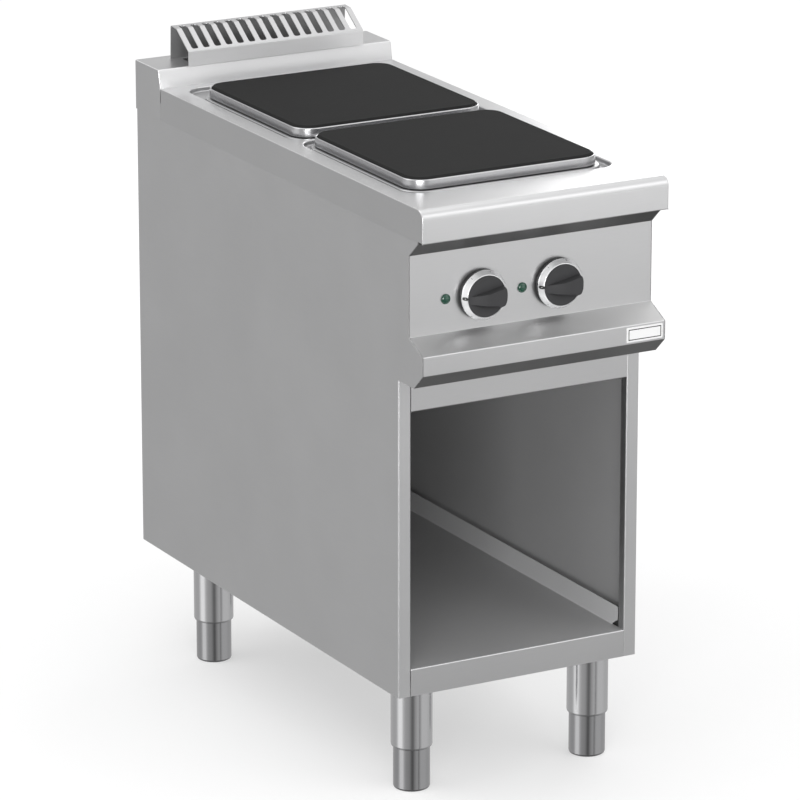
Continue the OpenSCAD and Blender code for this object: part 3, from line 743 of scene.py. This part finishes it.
def knob(side):
    x, z = KNOBS[side]
    disc = bmesh.new()
    section = [(0, KNOB_BACK), (KNOB_R - 0.4, KNOB_BACK), (KNOB_R, KNOB_BACK - 0.5)]
    section += [(KNOB_R, KNOB_FACE + 1.1), (KNOB_R - 0.4, KNOB_FACE + 0.4)]
    section += [(KNOB_R - 1.2, KNOB_FACE), (0, KNOB_FACE)]
    turned(disc, section, (x, z), 96)
    made = piece_of(disc, side + "_knob_grip", side + "_knob", satin_black_painted_shade, side + "_control")
    grip = bmesh.new()
    rows = []
    for u in STATIONS:
        reach = math.sqrt(GRIP_R**2 - u**2)
        top = min(reach, 5.5 + u * (0.107 if u < 0 else 0.224))
        foot = max(-reach, -9 - (u + GRIP_R) * 6 / 52, -15)
        rise = GRIP_HIGH * math.sin(math.pi / 2 * min(1.0, (u + GRIP_R) / 31)) ** 1.3
        rise -= 1.2 * max(0.0, (u - 26.3) / 1.6) ** 2
        crest = KNOB_FACE - rise
        soft = min(1.1, rise * 0.45, (top - foot) * 0.2)
        levels = [(0, crest + soft), (soft * 0.3, crest + soft * 0.3), (soft, crest)]
        section = [(foot - rise * 0.46, KNOB_FACE + 0.7)] + [(foot + inset, y) for inset, y in levels]
        section += [(top - inset, y) for inset, y in reversed(levels)] + [(top + rise * 0.2, KNOB_FACE + 0.7)]
        rows.append([grip.verts.new(((x + u) * MM, y * MM, (z + v) * MM)) for v, y in section])
    weave(grip, rows, closed=True)
    grip.faces.new(rows[0][::-1])
    grip.faces.new(rows[-1])
    carve(made, grip, "UNION", 50)
    for face in made.data.polygons:
        face.use_smooth = True


for side in KNOBS:
    knob(side)

# ----------------------------------------------------------------------------------------------------------
# Worktop: pressed from one 1.5 mm satin sheet. Its front is rolled to a 14 mm radius and turned under, its
# sides turn down as skirts, and each recess is pressed down round a raised collar that carries a plate. The
# pressings are a little rougher, and darker by painted shade.

satin_top = metal("satin_top", *SATIN, 0.31, ALONG_X, 0.08)
# The recesses get a darker copy of the satin steel: painted shade.
satin_recess_painted_shade = metal("satin_recess_painted_shade", (0.46, 0.46, 0.465), (0.54, 0.54, 0.545), 0.34, (60.0, 60.0, 60.0), 0.06)
TOP = 1.5 * MM
TOP_Z = 900
HALF_W = 200
APRON_Y = -450
SEAM_Y = 365
EDGE_R = 1.6
RECESS_W = 340
COLLAR_W = 325
HOLE_W = 290
PLATE_Y = {
    "front": (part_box("front_plate_rim")[0].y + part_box("front_plate_rim")[1].y) / 2 / MM,
    "rear": (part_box("rear_plate_rim")[0].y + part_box("rear_plate_rim")[1].y) / 2 / MM,
}
BETWEEN = (PLATE_Y["front"] + PLATE_Y["rear"]) / 2
RECESS_Y = {"front": (-360, BETWEEN - 4), "rear": (BETWEEN + 4, 347)}


def loop_at(shape, centre_y, width, depth, radius, grow, z, steps=8):
    """Adds a rounded rectangle of vertices, grown by a margin, at a height."""
    outline = box_outline(width + 2 * grow, depth + 2 * grow, radius + grow, steps)
    return [shape.verts.new((u * MM, (centre_y + v) * MM, z * MM)) for u, v in outline]


def edges_of(shape, loop):
    return [shape.edges.get((a, b)) or shape.edges.new((a, b)) for a, b in zip(loop, loop[1:] + loop[:1])]


def open_top(shape, seam):
    """Rounds the folds between a sheet's skin and its skirts, takes out the flat top and gives its edges."""
    bmesh.ops.recalc_face_normals(shape, faces=shape.faces)
    bmesh.ops.bevel(
        shape, geom=seam, offset=EDGE_R * MM, offset_type="OFFSET", segments=3, profile=0.5, affect="EDGES"
    )
    top = max(shape.faces, key=lambda face: face.calc_area() if abs(face.normal.z) > 0.99 else 0)
    border = list(top.edges)
    bmesh.ops.delete(shape, geom=[top], context="FACES_ONLY")
    return border


def close_top(shape, border, name, node, finish, level):
    """Fills the flat top between its edges and those of its holes, and makes the piece."""
    bmesh.ops.triangle_fill(shape, edges=border, use_beauty=True, use_dissolve=False)
    made = piece_of(shape, name, node, finish, thick=TOP)
    lowest = (level - 0.1) * MM
    tops = [face for face in made.data.polygons if abs(face.normal.z) > 0.99 and face.center.z > lowest]
    if tops[0].normal.z < 0:
        made.data.flip_normals()
    return made


def worktop():
    shape = bmesh.new()
    path = [(-437, APRON_Z), (APRON_Y, APRON_Z), (APRON_Y, TOP_Z), (SEAM_Y, TOP_Z), (SEAM_Y, 878)]
    profile = rounded(path, [0, EDGE_R, 14, EDGE_R, 0], 8)
    rows = [[shape.verts.new((x * MM, y * MM, z * MM)) for y, z in profile] for x in (-HALF_W, HALF_W)]
    weave(shape, rows)
    first = next(i for i, point in enumerate(profile) if point.y > APRON_Z + 0.5)
    last = next(i for i, point in enumerate(profile) if point.x > SEAM_Y - 0.1)
    seam = []
    for row, x in zip(rows, (-HALF_W, HALF_W)):
        ends = [shape.verts.new((x * MM, y * MM, APRON_Z * MM)) for y in (SEAM_Y, APRON_Y)]
        shape.faces.new(row[first : last + 1] + ends)
        seam += [shape.edges.get(pair) for pair in zip(row[first:last], row[first + 1 : last + 1])]
    border = open_top(shape, seam)
    edge = [(2.4, 900), (1.2, 899.7), (0.4, 898.9), (0, 897.8), (0, 894.6), (-0.7, 893), (-2.4, 892)]
    collar = [(1.2, 892), (0.4, 892.5), (0, 893.3), (0, 894.9), (-0.4, 896.1), (-1.2, 896.8), (-2.4, 897)]
    hole = [(1.2, 897), (0.3, 896.6), (0, 895.6), (0, 892)]
    for place, (y0, y1) in RECESS_Y.items():
        steps = [loop_at(shape, (y0 + y1) / 2, RECESS_W, y1 - y0, 30, grow, z) for grow, z in edge]
        steps += [loop_at(shape, PLATE_Y[place], COLLAR_W, COLLAR_W, 36, grow, z) for grow, z in collar]
        steps += [loop_at(shape, PLATE_Y[place], HOLE_W, HOLE_W, 21, grow, z) for grow, z in hole]
        weave(shape, steps, closed=True)
        border += edges_of(shape, steps[0])
    made = close_top(shape, border, "worktop_sheet", "worktop", satin_top, TOP_Z)
    made.data.materials.append(satin_recess_painted_shade)
    for face in made.data.polygons:
        x, y, z = face.center / MM
        if z < TOP_Z - 1.5 and abs(x) < RECESS_W / 2 + 2 and -370 < y < 360:
            face.material_index = 1


worktop()

# ----------------------------------------------------------------------------------------------------------
# Hot plates: grey cast iron with a machined, black-coated top and a chamfered edge. Each has its seal, a
# cover below, heating element loops, and a clamp bar with a washer and nut that pulls it down on the
# collar.


def iron_finish():
    made = Finish("coated_iron")
    grit = made.noise((900.0, 900.0, 900.0), detail=3.0, rough=0.6)
    turning = made.noise((40.0, 260.0, 40.0), detail=2.0)
    stain = made.noise((9.0, 9.0, 9.0), detail=4.0, rough=0.6)
    shade = grit * 0.3 + stain * 0.5 + turning * 0.2
    return made.surface(
        {
            "Base Color": made.tint(shade, (0.014, 0.014, 0.014), (0.026, 0.026, 0.026)),
            "Metallic": 0.0,
            "Specular IOR Level": 0.06,
            "Roughness": 0.75 + (grit - 0.5) * 0.2 + (stain - 0.5) * 0.12,
            "Normal": made.bump(grit, 0.00008, 0.35),
        }
    )


coated_iron = iron_finish()
seal_black = moulded("seal_black", (0.012, 0.012, 0.012), (0.02, 0.02, 0.02), 0.7)
hot_sheath = metal("hot_sheath", (0.16, 0.11, 0.08), (0.28, 0.2, 0.15), 0.45, (200.0, 200.0, 200.0), 0.15)
rim_steel = metal("rim_steel", (0.54, 0.54, 0.55), (0.58, 0.58, 0.59), 0.25, (60.0, 60.0, 900.0), 0.02)
RIM_W = 313
RIM_INNER_W = 306.4
RIM_LIP = [(0, 898.5), (0, 910.4), (-0.35, 911.4), (-1.0, 911.9), (-1.65, 912), (-2.3, 911.9), (-2.95, 911.4)]
for place in ("front", "rear"):
    dress(place + "_plate", coated_iron)
    soften(parts[place + "_plate"], 0.5 * MM)
    dress(place + "_plate_seal", seal_black)
    dress(place + "_heating_element", hot_sheath)
    dress(place + "_plate_cover", mill_steel)
    dress(place + "_clamp_bar", mill_steel)
    rim = bmesh.new()
    loops = [loop_at(rim, PLATE_Y[place], RIM_W, RIM_W, 30.5, grow, z) for grow, z in RIM_LIP]
    loops += [loop_at(rim, PLATE_Y[place], RIM_INNER_W, RIM_INNER_W, 27.2, 0, z) for z in (910.4, 898.5)]
    weave(rim, loops, closed=True, ring=True)
    piece_of(rim, place + "_rim_band", place + "_plate_rim", rim_steel)

# ----------------------------------------------------------------------------------------------------------
# Rear riser: a folded satin box behind the worktop, with skirts of its own that meet the worktop's at a
# plain seam. Its front leans back a little, and its top is cut out under the grille.

# The riser's front gets a lighter copy of the satin steel: painted light.
satin_riser_painted_light = metal(
    "satin_riser_painted_light", (0.76, 0.76, 0.765), (0.82, 0.82, 0.825), 0.42, ALONG_X, 0.08, metallic=0.6
)
RISER_Y = 365.2
RISER_TOP = 928


def riser():
    shape = bmesh.new()
    path = [(RISER_Y, 880), (RISER_Y, TOP_Z), (RISER_Y + 6, RISER_TOP)]
    path += [(REAR_Y, RISER_TOP), (REAR_Y, APRON_Z)]
    profile = rounded(path, [0, 0, 2.2, 2.2, 0], 5)
    rows = [[shape.verts.new((x * MM, y * MM, z * MM)) for y, z in profile] for x in (-HALF_W, HALF_W)]
    weave(shape, rows)
    seam = []
    for row, x in zip(rows, (-HALF_W, HALF_W)):
        foot = shape.verts.new((x * MM, RISER_Y * MM, APRON_Z * MM))
        shape.faces.new([foot, *row])
        seam += [shape.edges.get(pair) for pair in zip(row[1:], row[2:])]
    border = open_top(shape, seam)
    outlet = [(-135, 387), (135, 387), (135, 423), (-135, 423)]
    border += edges_of(shape, [shape.verts.new((x * MM, y * MM, RISER_TOP * MM)) for x, y in outlet])
    made = close_top(shape, border, "riser_sheet", "rear_riser", satin_riser_painted_light, RISER_TOP)
    made.data.materials.append(satin_side)
    made.data.materials.append(satin_top)
    for face in made.data.polygons:
        if abs(face.normal.x) > 0.9:
            face.material_index = 1
            face.use_smooth = False
        elif face.normal.z > 0.9:
            face.material_index = 2


riser()

# ----------------------------------------------------------------------------------------------------------
# Flue grille: one 1.5 mm satin sheet bent over the outlet and open at both ends, with fifteen punched slots
# that run from the slope over the crest.

GRILLE_FOOT = RISER_TOP + 0.2
GRILLE_MIDDLE = 400
GRILLE = [(368, GRILLE_FOOT), (368, 951.2), (408, 978.5), (428, 980), (430, GRILLE_FOOT)]
SLOTS = 15
SLOT_PITCH = 291 / SLOTS
# The grille's slope and crest get a darker copy of the satin steel: painted shade.
satin_grille_painted_shade = metal("satin_grille_painted_shade", (0.56, 0.56, 0.565), (0.64, 0.64, 0.645), 0.4, ALONG_X, 0.08)
# The grille's inner face, under the crest, gets a darker copy of the steel: painted shade.
dull_inside_painted_shade = metal("dull_inside_painted_shade", (0.34, 0.34, 0.343), (0.40, 0.40, 0.403), 0.5, ALONG_X)
grille = piece_of(
    folded_sheet(GRILLE, 300, -TOP / MM, 2.5), "grille_sheet", "flue_grille", satin_grille_painted_shade
)
# The grille's front face takes the riser's lighter copy of the steel: painted light.
grille.data.materials.append(satin_riser_painted_light)
grille.data.materials.append(dull_inside_painted_shade)
for face in grille.data.polygons:
    if face.normal.y < -0.95:
        face.material_index = 1 if face.center.y < GRILLE_MIDDLE * MM else 2
slots = bmesh.new()
for i in range(SLOTS):
    middle = (i - (SLOTS - 1) / 2) * SLOT_PITCH
    pillar(
        slots, box_outline(SLOT_PITCH * 0.57, 48, 3.0, 4), 948, 1000,
        lambda u, v, level, middle=middle: ((middle + u) * MM, (396 + v) * MM, level * MM),
    )
carve(grille, slots)

# ----------------------------------------------------------------------------------------------------------
# Studio: a pale floor, area lights and reflecting cards round the piece, a room whose brightness changes
# with the direction, and the camera.


def floor():
    shape = bmesh.new()
    half = 40.0
    corners = [(-half, -half), (half, -half), (half, half), (-half, half)]
    shape.faces.new([shape.verts.new((x, y, 0.0)) for x, y in corners])
    mesh = bpy.data.meshes.new("floor")
    shape.to_mesh(mesh)
    shape.free()
    made = Finish("floor_white")
    speck = made.noise((3.0, 3.0, 3.0))
    reach = made.node("VectorMath", {"operation": "LENGTH"}, {0: made.place()}, 1)
    # The floor glows less near the piece: a painted shadow round it.
    glow_with_painted_shadow = made.ramp(reach / 4.0, (0.12, 0.78), (0.75, 1.0))
    mesh.materials.append(
        made.surface({
            "Base Color": made.tint(speck, (0.47, 0.47, 0.47), (0.49, 0.49, 0.49)),
            "Roughness": 0.9,
            "Specular IOR Level": 0.0,
            "Emission Color": glow_with_painted_shadow,
            "Emission Strength": 0.57,
        })
    )
    piece = bpy.data.objects.new("floor", mesh)
    bpy.context.scene.collection.objects.link(piece)
    piece.visible_glossy = False
    piece.visible_diffuse = False


floor()


def area_light(name, place, aim, width, height, power):
    data = bpy.data.lights.new(name, "AREA")
    data.shape = "RECTANGLE"
    data.size = width
    data.size_y = height
    data.energy = power
    lamp = bpy.data.objects.new(name, data)
    lamp.location = place
    lamp.rotation_euler = (Vector(aim) - Vector(place)).to_track_quat("-Z", "Y").to_euler()
    bpy.context.scene.collection.objects.link(lamp)


middle = (0.0, 0.0, 0.6)
area_light("key", (2.4, -3.6, 3.0), middle, 3.0, 2.4, 18.0)
area_light("left_top", (-2.6, 1.0, 3.4), middle, 2.4, 2.4, 22.0)
area_light("top", (0.0, 0.4, 4.2), middle, 3.0, 3.0, 15.0)
area_light("rear_card", (2.5, 2.0, 1.9), (0.1, -0.3, 0.9), 1.8, 1.2, 19.0)
area_light("front_card", (1.0, -2.3, 0.5), (0.0, -0.4, 0.75), 1.2, 0.5, 1.5)
area_light("far_card", (2.9, -5.2, 1.5), (0.0, 0.37, 0.91), 3.0, 0.8, 6.0)
area_light("low_left_card", (-1.9, -3.4, 1.0), (0.05, 0.0, 0.35), 2.2, 1.2, 90.0)


class Room(Finish):
    """The nodes of the light that comes from all around."""

    def __init__(self, name):
        self.world = bpy.data.worlds.new(name)
        self.world.use_nodes = True
        self.tree = self.world.node_tree
        self.tree.nodes.clear()


def room():
    made = Room("studio")
    way = made.node("TexCoord", out="Generated")
    x, y, z = (made.node("SeparateXYZ", {}, {0: way}, i) for i in range(3))
    turn = x.math("ARCTAN2", y * -1.0) / (2 * math.pi) + 0.5
    around = [
        (-180, 0.52), (-151, 0.455), (-122, 0.46), (-111, 0.7), (-105, 1.0), (-84, 1.0), (-76, 0.6),
        (-64, 0.42), (-42, 0.34), (-26, 0.12), (-20, 0.12), (-8, 0.34), (6, 0.48), (13, 0.45),
        (16, 0.12), (19, 0.36), (30, 0.58), (60, 0.58), (85, 0.5), (120, 0.5), (180, 0.52),
    ]
    side = made.ramp(turn, *[(angle / 360 + 0.5, grey) for angle, grey in around])
    smooth = {"interpolation_type": "SMOOTHSTEP"}
    down = made.node("MapRange", smooth, {"Value": z * -1.0, "From Min": 0.3, "From Max": 0.95})
    rise = made.node("MapRange", smooth, {"Value": z, "From Min": 0.1, "From Max": 0.8})
    low = side * (1 - down) + down * 0.14
    level = low * (1 - rise) + rise
    sky = made.node("Background", {}, {"Color": (1.0, 1.0, 1.0, 1.0), "Strength": level})
    made.node("OutputWorld", {}, {"Surface": sky})
    bpy.context.scene.world = made.world


room()

AZIMUTH = math.radians(-28.81)
PITCH_DOWN = math.radians(17.02)
camera_data = bpy.data.cameras.new("camera")
camera_data.lens = 246.3
camera_data.sensor_width = 36.0
camera_data.clip_end = 200.0
camera = bpy.data.objects.new("camera", camera_data)
camera.location = (-3.7534, -6.8467, 2.8679)
camera.rotation_euler = (math.pi / 2 - PITCH_DOWN, 0.0, AZIMUTH)
bpy.context.scene.collection.objects.link(camera)
bpy.context.scene.camera = camera
bpy.context.scene.view_settings.view_transform = "Standard"
